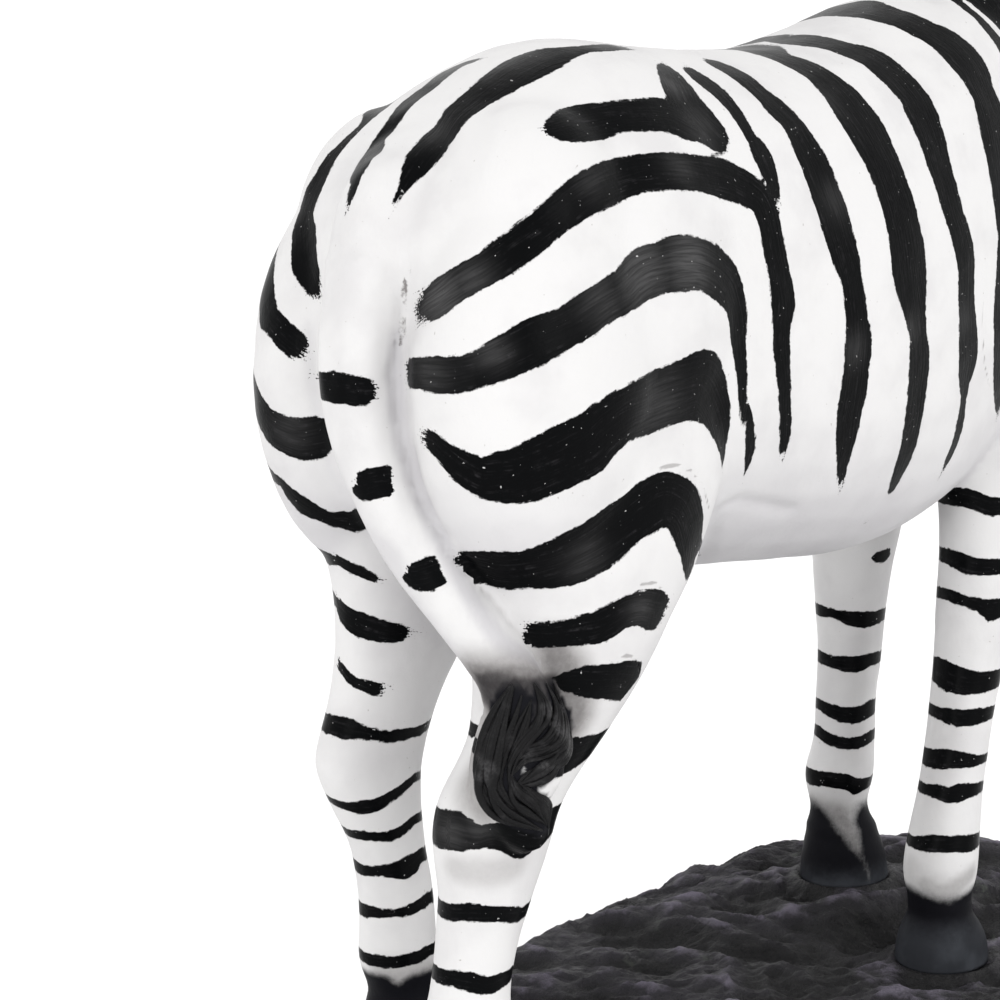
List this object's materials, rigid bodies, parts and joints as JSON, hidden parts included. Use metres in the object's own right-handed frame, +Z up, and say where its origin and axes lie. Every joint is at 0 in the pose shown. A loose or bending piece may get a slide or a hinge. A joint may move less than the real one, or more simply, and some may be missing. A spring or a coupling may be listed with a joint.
{
  "type": "zebra figurine",
  "caption": "Standing zebra figurine in painted cast resin, tail swung against one hind leg, on a low rippled ground-shaped base.",
  "frame": {"origin": "on the underside of the base, midway between the sides and level with the middle of the stance", "axes": "+X towards the head, +Y to the animal's left, +Z up"},
  "size_m": [0.2429, 0.0974, 0.2574],
  "materials": {
    "zebra": "hand-painted satin off-white with black stripes",
    "base": "matte charcoal paint"
  },
  "bodies": {
    "root": {"zebra": "zebra", "base": "base"}
  },
  "joints": []
}
